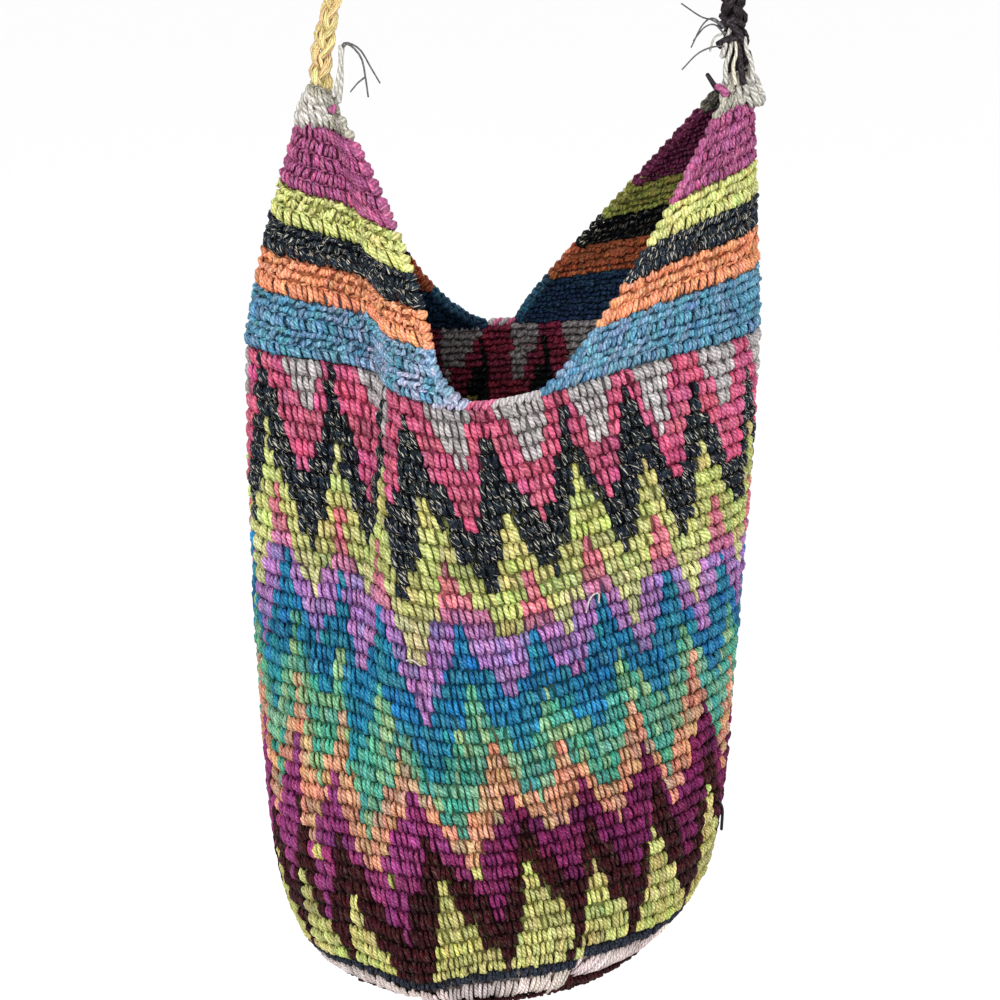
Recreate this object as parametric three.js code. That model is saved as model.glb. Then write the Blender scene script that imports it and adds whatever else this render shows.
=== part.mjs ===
// Crochet shoulder bag: a soft hollow body on an oval base, two striped tabs that rise from its rim,
// and a braided strap lashed to the tips of the tabs.
// Millimetres, +Z up, the front of the bag towards -Y. The origin is where the strap hangs.
import * as THREE from "three";

// Thickness of the crochet fabric, and the clearances between neighbouring pieces and over the faceted rim.
const WALL = 4;
const GAP = 0.3;
const RIM_GAP = 0.8;

// Sections of the bag from the middle of its base up to the rim, the base plane at height 0.
// Each is an oval: half width to either side, its depth to the front and back, its shift to the right.
const SECTIONS = [
  { height: -2.5, halfWidth: 0, front: 0, back: 0, shift: -12 },
  { height: -1.5, halfWidth: 47, front: 45, back: 43, shift: -12 },
  { height: 3, halfWidth: 77, front: 72, back: 69, shift: -13 },
  { height: 15, halfWidth: 92.5, front: 79.5, back: 75.5, shift: -11 },
  { height: 40, halfWidth: 106, front: 84, back: 78, shift: -5.7 },
  { height: 80, halfWidth: 112.5, front: 83, back: 75, shift: -4.2 },
  { height: 140, halfWidth: 116, front: 77, back: 69, shift: -3.6 },
  { height: 200, halfWidth: 118.5, front: 70, back: 64, shift: -2.5 },
  { height: 260, halfWidth: 120, front: 63, back: 61, shift: -1 },
  { height: 314, halfWidth: 120.5, front: 57, back: 60, shift: 0 },
];
const RIM = SECTIONS.length - 1;
const RIM_HEIGHT = SECTIONS[RIM].height;

// The base ends and the wall begins at this place between the sections.
const BASE_EDGE = 2;

// The section draws in to a lens shape towards the rim.
const PINCH = { from: 30, to: 310, power: 0.25 };

// Turns count once round the bag, from the front towards the right.
// The rim hangs low at the front and back, between the tabs that pull it up, and the rounds below follow it.
const DROOPS = [
  { turn: -0.034, width: 0.082, depth: 18 },
  { turn: 0.5, width: 0.14, depth: 10 },
];
const FULL_DROOP_HEIGHT = 170;

// A fold at the front left, deepest at the rim: the left side is pressed in, and its right flank is steep.
const FOLD = {
  bottom: 100, turnAtBottom: -0.116, turnAtRim: -0.104, leftWidth: 0.05, rightWidth: 0.018,
  depth: 22, power: 0.8, sideways: 0.6,
};

// Each tab takes the rim from its front turn round the side to its back turn. The ease of an edge says
// how late it leaves the rim's outline on the way to the tip: over 1 is late, under 1 early.
const TABS = [
  {
    side: "left", outward: -1, tipX: -84, tipHeight: 442, frontTurn: -0.054, backTurn: -0.5,
    frontEase: 2.3, sideEase: 1.25, backEase: 0.72,
  },
  {
    side: "right", outward: 1, tipX: 108, tipHeight: 446, frontTurn: 0.014, backTurn: 0.481,
    frontEase: 0.95, sideEase: 1.2, backEase: 1.35,
  },
];

// Near its tip a tab curls into an open neck, and its rows sag towards both edges.
const TAB_TIP = { radius: 5.5, wall: 2.8, halfAngle: 2.3, neckFrom: 0.93 };
const TAB_SAG = { depth: 12, power: 1.5 };

// The strap rises straight from both tips and turns over in a half circle.
const STRAP = { width: 11, thickness: 9.5, rise: 280, sides: 10, steps: 64, archPoints: 12 };

// Yarn wound round the tip and the strap's end.
const LASHING = { turns: 4, yarn: 3.6, clearance: 0.5, backing: 0.5, facets: 14, arcPoints: 3 };

// Facets of the fabric. Those around the body crowd together at the fold.
const AROUND = 72;
const CROWDING = 0.45;
const WALL_STEPS = 13;
const BASE_STEPS = 4;
const TAB_ACROSS = 26;
const TAB_STEPS = 12;

const COLOURS = { body: 0x7a4a72, base: 0x3c0c19, tab: 0x5a93b4, strap: 0xb99a63, lashing: 0xbebcb4 };
const YARN_ROUGHNESS = 0.95;

const clamp01 = (value) => Math.min(1, Math.max(0, value));
const mix = THREE.MathUtils.lerp;

// One column of the sections at a place between them, as a smooth curve through the rows.
function column(name, place) {
  const row = (i) => SECTIONS[Math.min(RIM, Math.max(0, i))][name];
  const slope = (i) => (row(i + 1) - row(i - 1)) / (i <= 0 || i >= RIM ? 1 : 2);
  const i = Math.min(RIM - 1, Math.floor(place));
  const f = place - i;
  const f2 = f * f;
  const f3 = f2 * f;
  return (
    (2 * f3 - 3 * f2 + 1) * row(i) +
    (f3 - 2 * f2 + f) * slope(i) +
    (3 * f2 - 2 * f3) * row(i + 1) +
    (f3 - f2) * slope(i + 1)
  );
}

// The shortest way round from one turn to another.
function turnsBetween(from, to) {
  const away = to - from;
  return away - Math.round(away);
}

// How far the fold presses the wall in.
function foldDepth(turn, height) {
  const rise = clamp01((height - FOLD.bottom) / (RIM_HEIGHT - FOLD.bottom));
  const near = turnsBetween(mix(FOLD.turnAtBottom, FOLD.turnAtRim, rise), turn);
  const width = near < 0 ? FOLD.leftWidth : FOLD.rightWidth;
  return FOLD.depth * Math.exp(-((near / width) ** 2)) * rise ** FOLD.power;
}

// How far the wall hangs below its section's height.
function droopDepth(turn, height) {
  let depth = 0;
  for (const droop of DROOPS) {
    depth += droop.depth * Math.exp(-((turnsBetween(droop.turn, turn) / droop.width) ** 2));
  }
  return depth * clamp01(height / FULL_DROOP_HEIGHT);
}

// A point of the bag's outer face: the turn counts once round, the place runs through the sections.
function wallPoint(turn, place) {
  const height = column("height", place);
  const sideways = Math.sin(2 * Math.PI * turn);
  const forward = Math.cos(2 * Math.PI * turn);
  const isFront = forward > 0;
  const pinch = 1 + PINCH.power * clamp01((height - PINCH.from) / (PINCH.to - PINCH.from));
  const depth = column(isFront ? "front" : "back", place) * Math.abs(forward) ** pinch;
  const fold = foldDepth(turn, height);
  return new THREE.Vector3(
    column("shift", place) + (column("halfWidth", place) - FOLD.sideways * fold) * sideways,
    -Math.sign(forward) * depth + fold * Math.max(forward, 0),
    height - droopDepth(turn, height),
  );
}

// A point of a tab's outer face: across runs from its front edge at -1 to its back edge at 1,
// up from the rim at 0 to the tip at 1.
function tabPoint(tab, across, up) {
  const turn = mix(tab.frontTurn, tab.backTurn, (across + 1) / 2);
  const foot = wallPoint(turn, RIM);
  const angle = across * TAB_TIP.halfAngle;
  const edge = Math.abs(across);
  const ease = mix(tab.sideEase, across < 0 ? tab.frontEase : tab.backEase, edge);
  const drawn = clamp01(up / TAB_TIP.neckFrom) ** ease;
  const sag = TAB_SAG.depth * edge ** TAB_SAG.power * 4 * up * (1 - up);
  return new THREE.Vector3(
    mix(foot.x, tab.tipX + tab.outward * TAB_TIP.radius * Math.cos(angle), drawn),
    mix(foot.y, TAB_TIP.radius * Math.sin(angle), drawn),
    mix(foot.z + RIM_GAP, tab.tipHeight, up) - sag,
  );
}

// The point behind a place of a surface, deep below it. Facing is 1 or -1, whichever points inward.
function pointBehind(surface, a, b, range, deep, facing) {
  const step = 0.001;
  const [low, high] = range;
  const alongA = surface(a + step, b).sub(surface(a - step, b));
  const alongB = surface(a, Math.min(high, b + step)).sub(surface(a, Math.max(low, b - step)));
  const normal = alongA.cross(alongB).normalize();
  return surface(a, b).addScaledVector(normal, facing * deep);
}

// A closed solid through loops of points. Loops may shrink to a line or a point, which closes an end.
function solidThroughLoops(loops, joinEnds) {
  const count = loops[0].length;
  const positions = [];
  const triangle = (p, q, r) => {
    if (p.equals(q) || q.equals(r) || r.equals(p)) return;
    positions.push(...p.toArray(), ...q.toArray(), ...r.toArray());
  };
  const last = joinEnds ? loops.length : loops.length - 1;
  for (let j = 0; j < last; j++) {
    const here = loops[j];
    const next = loops[(j + 1) % loops.length];
    for (let i = 0; i < count; i++) {
      const k = (i + 1) % count;
      triangle(here[i], here[k], next[k]);
      triangle(here[i], next[k], next[i]);
    }
  }
  const geometry = new THREE.BufferGeometry();
  geometry.setAttribute("position", new THREE.Float32BufferAttribute(positions, 3));
  geometry.computeVertexNormals();
  return geometry;
}

function piece(name, geometry, colour) {
  const material = new THREE.MeshStandardMaterial({ color: colour, roughness: YARN_ROUGHNESS, metalness: 0 });
  const mesh = new THREE.Mesh(geometry, material);
  mesh.name = name;
  return mesh;
}

// The outer and inner loop of the bag's fabric at one place.
function wallLoops(place) {
  const turns = Array.from({ length: AROUND }, (_, i) => {
    const away = 2 * Math.PI * (i / AROUND - FOLD.turnAtRim);
    return i / AROUND - (CROWDING * Math.sin(away)) / (2 * Math.PI);
  });
  return {
    outer: turns.map((turn) => wallPoint(turn, place)),
    inner: turns.map((turn) => pointBehind(wallPoint, turn, place, [0, RIM], WALL, -1)),
  };
}

function makeBody() {
  const first = BASE_EDGE + GAP / (SECTIONS[BASE_EDGE + 1].halfWidth - SECTIONS[BASE_EDGE].halfWidth);
  const places = Array.from({ length: WALL_STEPS + 1 }, (_, i) => mix(first, RIM, i / WALL_STEPS));
  const loops = places.map(wallLoops);
  const up = loops.map((pair) => pair.outer);
  const down = loops.map((pair) => pair.inner).reverse();
  return piece("body", solidThroughLoops([...up, ...down], true), COLOURS.body);
}

function makeBase() {
  const places = Array.from({ length: BASE_STEPS }, (_, i) => (BASE_EDGE * (i + 1)) / BASE_STEPS);
  const loops = places.map(wallLoops);
  const middle = wallPoint(0, 0);
  const underside = Array(AROUND).fill(middle);
  const topside = Array(AROUND).fill(middle.clone().setZ(middle.z + WALL));
  const out = loops.map((pair) => pair.outer);
  const back = loops.map((pair) => pair.inner).reverse();
  return piece("base", solidThroughLoops([underside, ...out, ...back, topside], false), COLOURS.base);
}

function makeTab(tab) {
  const steps = Array.from({ length: TAB_ACROSS + 1 }, (_, i) => (2 * i) / TAB_ACROSS - 1);
  const surface = (across, up) => tabPoint(tab, across, up);
  const loops = [];
  for (let j = 0; j <= TAB_STEPS; j++) {
    const up = Math.min(1, (TAB_TIP.neckFrom * j) / (TAB_STEPS - 1));
    const thick = mix(WALL, TAB_TIP.wall, up);
    const outer = steps.map((across) => surface(across, up));
    const inner = steps.map((across) => pointBehind(surface, across, up, [0, 1], thick, -tab.outward));
    inner.forEach((point, i) => point.setZ(outer[i].z));
    loops.push({ outer, inner });
  }
  const ring = ({ outer, inner }) => [...outer, ...inner.slice().reverse()];
  const seam = ({ outer, inner }) => {
    const middle = outer.map((point, i) => point.clone().lerp(inner[i], 0.5));
    return [...middle, ...middle.slice().reverse()];
  };
  const closed = [seam(loops[0]), ...loops.map(ring), seam(loops[TAB_STEPS])];
  if (tab.outward < 0) closed.reverse();
  return piece("tab_" + tab.side, solidThroughLoops(closed, false), COLOURS.tab);
}

// The strap's centre line from the left tip over the arch to the right tip.
function strapPath() {
  const [left, right] = TABS;
  const shoulder = Math.max(left.tipHeight, right.tipHeight) + STRAP.rise;
  const radius = (right.tipX - left.tipX) / 2;
  const middle = (right.tipX + left.tipX) / 2;
  const path = new THREE.CurvePath();
  const straight = (x, from, to) =>
    new THREE.LineCurve3(new THREE.Vector3(x, 0, from), new THREE.Vector3(x, 0, to));
  const arch = Array.from({ length: STRAP.archPoints + 1 }, (_, i) => {
    const angle = Math.PI * (1 - i / STRAP.archPoints);
    return new THREE.Vector3(middle + radius * Math.cos(angle), 0, shoulder + radius * Math.sin(angle));
  });
  path.add(straight(left.tipX, left.tipHeight + GAP, shoulder));
  path.add(new THREE.CatmullRomCurve3(arch));
  path.add(straight(right.tipX, shoulder, right.tipHeight + GAP));
  return { path, hang: new THREE.Vector3(middle, 0, shoulder + radius - STRAP.thickness / 2) };
}

function makeStrap(path) {
  const section = new THREE.Shape();
  for (let i = 0; i < STRAP.sides; i++) {
    const angle = (2 * Math.PI * i) / STRAP.sides;
    const x = (STRAP.thickness / 2) * Math.cos(angle);
    const y = (STRAP.width / 2) * Math.sin(angle);
    if (i === 0) section.moveTo(x, y);
    else section.lineTo(x, y);
  }
  section.closePath();
  const options = { steps: STRAP.steps, extrudePath: path, bevelEnabled: false };
  return piece("strap", new THREE.ExtrudeGeometry(section, options), COLOURS.strap);
}

// A collar of wound yarn, each turn a bulge on its outside.
function makeLashing(tab) {
  const bore = Math.max(TAB_TIP.radius, STRAP.width / 2) + LASHING.clearance;
  const half = (LASHING.turns * LASHING.yarn) / 2;
  const profile = [new THREE.Vector2(bore, half), new THREE.Vector2(bore, -half)];
  for (let turn = 0; turn < LASHING.turns; turn++) {
    const middle = -half + (turn + 0.5) * LASHING.yarn;
    for (let i = 0; i < LASHING.arcPoints; i++) {
      const angle = Math.PI * ((i + 0.5) / LASHING.arcPoints - 0.5);
      const bulge = (LASHING.yarn / 2) * Math.cos(angle);
      const height = middle + (LASHING.yarn / 2) * Math.sin(angle);
      profile.push(new THREE.Vector2(bore + LASHING.backing + bulge, height));
    }
  }
  profile.push(profile[0].clone());
  const winding = new THREE.LatheGeometry(profile, LASHING.facets);
  const collar = piece("lashing_" + tab.side, winding, COLOURS.lashing);
  collar.rotation.x = Math.PI / 2;
  collar.position.set(tab.tipX, 0, tab.tipHeight);
  return collar;
}

const { path, hang } = strapPath();
const bag = new THREE.Group();
bag.add(makeBase(), makeBody(), makeStrap(path));
for (const tab of TABS) {
  bag.add(makeTab(tab), makeLashing(tab));
}
bag.position.copy(hang).negate();

const part = new THREE.Group();
part.add(bag);
export default part;
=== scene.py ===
"""Crochet crossbody bag: yarn stitches, a braided strap and yarn ties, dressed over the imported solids."""
import math

import bpy
import numpy as np
from mathutils import Matrix, Vector


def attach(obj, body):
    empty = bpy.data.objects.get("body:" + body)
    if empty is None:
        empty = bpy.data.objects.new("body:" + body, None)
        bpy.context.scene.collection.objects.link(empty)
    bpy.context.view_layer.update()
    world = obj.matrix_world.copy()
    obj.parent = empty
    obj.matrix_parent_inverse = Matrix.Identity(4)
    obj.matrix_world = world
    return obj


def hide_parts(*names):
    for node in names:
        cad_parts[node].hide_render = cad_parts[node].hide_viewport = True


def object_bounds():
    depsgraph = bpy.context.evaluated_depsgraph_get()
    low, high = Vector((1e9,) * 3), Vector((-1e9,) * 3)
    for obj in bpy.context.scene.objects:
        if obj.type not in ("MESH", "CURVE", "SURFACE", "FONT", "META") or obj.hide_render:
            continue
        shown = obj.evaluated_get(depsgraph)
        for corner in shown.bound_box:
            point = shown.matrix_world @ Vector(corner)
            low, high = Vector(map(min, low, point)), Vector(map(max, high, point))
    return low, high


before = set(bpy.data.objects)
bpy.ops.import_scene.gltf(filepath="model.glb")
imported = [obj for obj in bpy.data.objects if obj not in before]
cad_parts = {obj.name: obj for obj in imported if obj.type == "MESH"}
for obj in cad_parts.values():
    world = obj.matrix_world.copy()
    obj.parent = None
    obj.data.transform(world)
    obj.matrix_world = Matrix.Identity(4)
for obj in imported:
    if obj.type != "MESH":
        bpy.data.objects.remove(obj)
cad_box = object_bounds()
rng = np.random.default_rng(7)

# The bag's form in millimetres, z = 0 at its base plane, the front towards -Y, as the solids have it.
# Sections from the middle of the base up to the rim: height, half width, front depth, back depth, shift.
SECTIONS = np.array([
    (-2.5, 0, 0, 0, -12),
    (-1.5, 47, 45, 43, -12),
    (3, 77, 72, 69, -13),
    (15, 92.5, 79.5, 75.5, -11),
    (40, 106, 84, 78, -5.7),
    (80, 112.5, 83, 75, -4.2),
    (140, 116, 77, 69, -3.6),
    (200, 118.5, 70, 64, -2.5),
    (260, 120, 63, 61, -1),
    (314, 120.5, 57, 60, 0),
])
RIM = len(SECTIONS) - 1
RIM_HEIGHT = SECTIONS[RIM, 0]
RIM_GAP = 0.8
PINCH_FROM, PINCH_TO, PINCH_POWER = 30, 310, 0.25
# Turns count once round the bag, from the front towards the right. Each droop: turn, width, depth.
DROOPS = ((-0.034, 0.082, 18), (0.5, 0.14, 10))
FULL_DROOP_HEIGHT = 170
FOLD = dict(bottom=100, turn_at_bottom=-0.116, turn_at_rim=-0.104, left=0.05, right=0.018,
            depth=22, power=0.8, sideways=0.6)
TABS = {
    "left": dict(outward=-1, tip_x=-84, tip_height=442, front=-0.054, back=-0.5,
                 front_ease=2.3, side_ease=1.25, back_ease=0.72, foot_run=0.09),
    "right": dict(outward=1, tip_x=108, tip_height=446, front=0.014, back=0.481,
                  front_ease=0.95, side_ease=1.2, back_ease=1.35, foot_run=0.02),
}
TIP_RADIUS, TIP_HALF_ANGLE, NECK_FROM = 5.5, 2.3, 0.93
TAB_SAG_DEPTH, TAB_SAG_POWER = 12, 1.5
STRAP_RISE, STRAP_THICKNESS = 280, 9.5

SHOULDER = max(tab["tip_height"] for tab in TABS.values()) + STRAP_RISE
ARCH_RADIUS = (TABS["right"]["tip_x"] - TABS["left"]["tip_x"]) / 2
ARCH_MIDDLE = (TABS["right"]["tip_x"] + TABS["left"]["tip_x"]) / 2
HANG = np.array([ARCH_MIDDLE, 0.0, SHOULDER + ARCH_RADIUS - STRAP_THICKNESS / 2])

# The fabric: columns of the zigzag's chart and stitches in a round, with fewer stitches in the upper rounds,
# whose yarn is thick, and on the inside.
COLUMNS, STITCHES = 148, 126
THICK_ROUNDS, THICK_STITCHES = 14, 100
INSIDE_STITCHES = 100
FEWEST_STITCHES = 6
# The width of a stitch, the width at which strands have the radii given for them, and the height of a round.
STITCH_WIDTH, LEG_WIDTH = 4.9, 5.92
ROUND_HEIGHT = 7.24
# Columns by which the chart leans to the left for each round further down.
LEAN = 0.1
# Rounds of the zigzag, of the wall, and of the wall with the base.
ZIGZAG_ROUNDS, WALL_ROUNDS, ROUNDS = 39, 43, 52
ROUND_STARTS = rng.random(ROUNDS)
# The turn at which depths below the rim are measured.
ROUND_TURN = 0.05
# Steps with which depths, the lengths of rounds and the places on rounds are measured.
DEPTH_STEPS, LENGTH_STEPS, ROUND_STEPS = 1800, 720, 1200
# The rounds hang lower at the left side: by how many rounds at the zigzag's end, at which turn, how wide.
LEFT_SAG, LEFT_SAG_TURN, LEFT_SAG_WIDTH = 2.1, -0.21, 0.09
# The lowest rounds lie lower: by how many rounds, from which round and in full at which.
LOWERED, LOWERED_FROM, LOWERED_TO = 0.25, 31, 38
# They dip further at two turns: rounds, turn, width.
DIPS = ((1.6, -0.075, 0.035), (0.7, 0.16, 0.08))
# The pale round is taller by so many rounds. It lies a round higher over these turns and chart columns.
PALE_EXTRA, PALE_STEP, PALE_STEP_COLUMNS = 1.0, (0.055, 0.42), (12, 66)

# Where the triangles of the zigzag begin, a row for each chain of them across the front, from left to right:
# column and round of the tweed, coral, green, purple and low lime tip.
CHAINS = (
    ((-34.8, 0), (-30.7, 8.3), (-27.4, 15.9), (-25.6, 23.9), (-24.6, 33.1)),
    ((-25.7, 0.3), (-23.1, 8.9), (-20.6, 17.9), (-20.4, 25.5), (-16.8, 33.9)),
    ((-17.7, 0.5), (-16.6, 9.9), (-14.9, 18.7), (-10.1, 26.5), (-6, 31.9)),
    ((-13.6, 1.1), (-8.1, 10.1), (-3.7, 18.3), (1, 25.7), (4.1, 30.9)),
    ((-3.5, 2.5), (1.5, 10.9), (4.8, 19.1), (9.9, 26.3), (12.3, 32.1)),
    ((5.2, 1.1), (9, 9.5), (13.7, 18.3), (18.5, 25), (20.5, 30.9)),
    ((13.4, 1.1), (17.8, 9.9), (22.6, 17.5), (27.6, 23.4), (30.5, 30.5)),
    ((21.8, 1.7), (26.6, 9.7), (32, 17.7), (36.8, 25.7), (39, 31)),
    ((31.5, 1.9), (36, 9.9), (40.7, 17.9), (45.6, 24.7), (48.2, 31)),
)
# Columns of the tweed tips round the back.
BACK_TIPS = (40, 49, 57.5, 66.5, 73.6, 82, 90, 98, 106)
# Single stitches of lime below valleys of the peach band: column and round.
LIME_SPOTS = ((-22, 31), (-12, 32), (-2, 31))
BANDS = ("pink", "tweed", "lime", "coral", "blue", "green", "peach", "purple", "maroon", "low_lime")
TIP_BANDS = (1, 3, 5, 7, 9)
# The rounds at which the spikes between the triangles end, a row for each chain, the last row also for those
# after it: spikes of grey, pink, tweed, lime, coral, blue, green, peach and purple.
SPIKE_ENDS = (
    (3, 7.5, 11.8, 14.5, 18, 21.5, 27.5, 30.8, 36.2),
    (2.8, 8.2, 11.2, 14.5, 19.8, 25.5, 30, 32, 35.5),
    (3, 9, 13.2, 17.2, 20.5, 25, 28.8, 31, 34.2),
    (3.8, 8, 12, 15.2, 19, 23, 27, 29, 32.8),
    (3.8, 8.2, 12.2, 15.8, 19.2, 23, 27.2, 29.5, 33.8),
    (4.2, 8.5, 12.5, 16.2, 18.8, 22.5, 27.5, 30, 34.2),
    (4.2, 8.8, 12.2, 16.2, 18.8, 22.5, 27.2, 30, 34),
    (3.8, 8.5, 11.5, 15.5, 18.8, 22.5, 27.2, 30, 34),
)
# How many columns a triangle of each band grows to the left in a round.
LEFT_GROWTHS = (0.15, 0.17, 0.2, 0.3, 0.4, 0.4, 0.4, 0.7, 0.3, 0)
# How many columns the lowest triangles grow to the right in a round, and how wide the others may be.
LOW_GROWTH, TRIANGLE_REACH = 1.4, 13

# Stripes of a tab from its foot to its tip: yarn, rows and height of a row as a share of the others'.
TAB_STRIPES = (("tab_blue", 4, 1.0), ("tab_orange", 2, 1.22), ("tweed", 2, 0.97), ("tab_lime", 2, 1.03),
               ("tab_magenta", 5, 0.752), ("tab_grey", 3, 0.97))

# Colours of the yarns, as sRGB from 0 to 255.
YARNS = {
    "grey": (178, 172, 172), "pink": (196, 97, 127), "tweed": (22, 31, 42), "lime": (189, 191, 123),
    "coral": (202, 120, 132), "lilac": (172, 122, 178), "blue": (34, 116, 160), "green": (80, 160, 138),
    "teal": (60, 150, 150), "peach": (204, 142, 119), "purple": (112, 32, 80), "left_purple": (148, 62, 118),
    "maroon": (52, 6, 13), "low_lime": (191, 189, 120), "beige": (190, 182, 145),
    "navy": (38, 43, 56), "pale": (210, 196, 191), "cream": (226, 218, 196),
    "tab_blue": (68, 126, 156), "tab_lavender": (184, 180, 206), "tab_cyan": (96, 176, 196),
    "tab_inside": (62, 78, 128), "tab_orange": (232, 152, 112), "tab_lime": (206, 207, 130),
    "tab_magenta": (164, 84, 126), "tab_grey": (172, 168, 154), "gold": (234, 208, 145),
    "brown": (42, 35, 39), "tie_grey": (192, 188, 180), "tie_dark": (96, 94, 94),
}
# How the yarn of a band changes: the other yarn, its share, the rounds below a tip over which it comes in,
# and the power of a random share, 0 for none.
THROUGHOUT = (-1, 0)
YARN_CHANGES = (
    ("coral", "lilac", 1.0, (2.2, 4.2), 0),
    ("lime", "beige", 0.7, (6, 9), 0),
    ("blue", "teal", 0.35, (5, 9), 0),
    ("green", "teal", 0.6, (1, 5), 1),
    ("green", "lime", 0.55, THROUGHOUT, 2),
    ("coral", "blue", 0.45, (2.2, 4.2), 3),
    ("blue", "green", 0.32, THROUGHOUT, 2),
    ("peach", "gold", 0.36, THROUGHOUT, 2),
    ("peach", "green", 0.35, THROUGHOUT, 4),
)
# The columns over which purple turns into the purple of the left side.
LEFT_PURPLE_COLUMNS = (5, -16)
# Slow changes of hue and of tone along the rounds, and the columns over which they come.
HUE_CHANGE, TONE_CHANGE, CHANGE_COLUMNS = 0.09, 0.14, 6
MAROON_FLECK = 0.1
# How much more saturated yarn is in shade, and the power that deepens the colours of the wall.
DEEPEN, WALL_DEPTH = 0.9, 1.11


def to_linear(srgb):
    c = np.asarray(srgb, float) / 255
    return np.where(c <= 0.04045, c / 12.92, ((c + 0.055) / 1.055) ** 2.4)


YARN = {name: to_linear(colour) for name, colour in YARNS.items()}


def shaded(colours, tone):
    """Colours in shade, more saturated as they darken. A tone of 1 is full light."""
    return np.clip(colours, 0, 1) ** (1 + DEEPEN * (1 - tone)) * tone


def to_frame(points):
    """Millimetres of the bag to metres of the shared frame."""
    return (np.asarray(points, float) - HANG) / 1000


def unit(vectors):
    return vectors / np.maximum(np.linalg.norm(vectors, axis=-1, keepdims=True), 1e-9)


def smoothstep(low, high, value):
    t = np.clip((value - low) / (high - low), 0, 1)
    return t * t * (3 - 2 * t)


def wrap(turns):
    return turns - np.round(turns)


def bell(turn, middle, width):
    return np.exp(-((wrap(turn - middle) / width) ** 2))


def through(table, place):
    """Rows of a table at places between them, on a smooth curve."""
    last = len(table) - 1
    place = np.clip(np.asarray(place, float), 0, last)
    i = np.minimum(np.floor(place).astype(int), last - 1)
    f = (place - i)[..., None]
    slope = np.gradient(table, axis=0)
    start = (2 * f**3 - 3 * f**2 + 1) * table[i] + (f**3 - 2 * f**2 + f) * slope[i]
    end = (3 * f**2 - 2 * f**3) * table[i + 1] + (f**3 - f**2) * slope[i + 1]
    return start + end


def smooth_curve(points, count):
    """Points on a smooth curve through a few points."""
    return through(np.asarray(points, float), np.linspace(0, len(points) - 1, count))


def wall(turn, place):
    """Points of the bag's outer face."""
    turn, place = np.broadcast_arrays(np.asarray(turn, float), np.asarray(place, float))
    height, half_width, front, back, shift = np.moveaxis(through(SECTIONS, place), -1, 0)
    sideways, forward = np.sin(2 * np.pi * turn), np.cos(2 * np.pi * turn)
    pinch = 1 + PINCH_POWER * np.clip((height - PINCH_FROM) / (PINCH_TO - PINCH_FROM), 0, 1)
    depth = np.where(forward > 0, front, back) * np.abs(forward) ** pinch
    rise = np.clip((height - FOLD["bottom"]) / (RIM_HEIGHT - FOLD["bottom"]), 0, 1)
    near = wrap(turn - (FOLD["turn_at_bottom"] + (FOLD["turn_at_rim"] - FOLD["turn_at_bottom"]) * rise))
    width = np.where(near < 0, FOLD["left"], FOLD["right"])
    fold = FOLD["depth"] * np.exp(-((near / width) ** 2)) * rise ** FOLD["power"]
    droop = sum(fall * bell(turn, middle, spread) for middle, spread, fall in DROOPS)
    return np.stack([
        shift + (half_width - FOLD["sideways"] * fold) * sideways,
        -np.sign(forward) * depth + fold * np.maximum(forward, 0),
        height - droop * np.clip(height / FULL_DROOP_HEIGHT, 0, 1),
    ], -1)


def tab_face(tab, across, up):
    """Points of a tab's outer face, across from its front edge at -1 to its back edge at 1."""
    across, up = np.broadcast_arrays(np.asarray(across, float), np.asarray(up, float))
    turn = tab["front"] + (tab["back"] - tab["front"]) * (across + 1) / 2
    foot = wall(turn, RIM)
    angle = across * TIP_HALF_ANGLE
    edge = np.abs(across)
    edge_ease = np.where(across < 0, tab["front_ease"], tab["back_ease"])
    ease = tab["side_ease"] + (edge_ease - tab["side_ease"]) * edge
    drawn = np.clip(up / NECK_FROM, 1e-9, 1) ** ease
    tip_x = tab["tip_x"] + tab["outward"] * TIP_RADIUS * np.cos(angle)
    tip_y = TIP_RADIUS * np.sin(angle)
    sag = TAB_SAG_DEPTH * edge**TAB_SAG_POWER * 4 * up * (1 - up)
    foot_z = foot[..., 2] + RIM_GAP
    return np.stack([
        foot[..., 0] + (tip_x - foot[..., 0]) * drawn,
        foot[..., 1] + (tip_y - foot[..., 1]) * drawn,
        foot_z + (tab["tip_height"] - foot_z) * up - sag,
    ], -1)


def arc_lengths(points):
    steps = np.linalg.norm(np.diff(points, axis=0), axis=1)
    return np.concatenate([[0], np.cumsum(steps)])


# The place between the sections of a depth below the rim, measured down the front and on over the base.
PLACES = np.linspace(RIM, 0, DEPTH_STEPS + 1)
DEPTHS = arc_lengths(wall(ROUND_TURN, PLACES))


def round_place(row, turn):
    """The place of a round at a turn, the rim at row 0 and the middle of the base at the last."""
    row = np.asarray(row, float)
    lowered = LOWERED + sum(dip * bell(turn, middle, width) for dip, middle, width in DIPS)
    stepped = (wrap(turn) > PALE_STEP[0]) & (wrap(turn) < PALE_STEP[1])
    taller = PALE_EXTRA * np.clip(row - np.where(stepped, ZIGZAG_ROUNDS, ZIGZAG_ROUNDS + 1), 0, 1)
    row = row + lowered * smoothstep(LOWERED_FROM, LOWERED_TO, row) + taller
    row = row - (lowered + PALE_EXTRA) * smoothstep(ZIGZAG_ROUNDS + 2, ROUNDS, row)
    fading = np.clip((WALL_ROUNDS - row) / (WALL_ROUNDS - ZIGZAG_ROUNDS), 0, 1)
    growing = np.minimum(row / ZIGZAG_ROUNDS, fading)
    sag = LEFT_SAG * growing * bell(turn, LEFT_SAG_TURN, LEFT_SAG_WIDTH)
    return np.interp((row + sag) * ROUND_HEIGHT, DEPTHS, PLACES)


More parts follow.
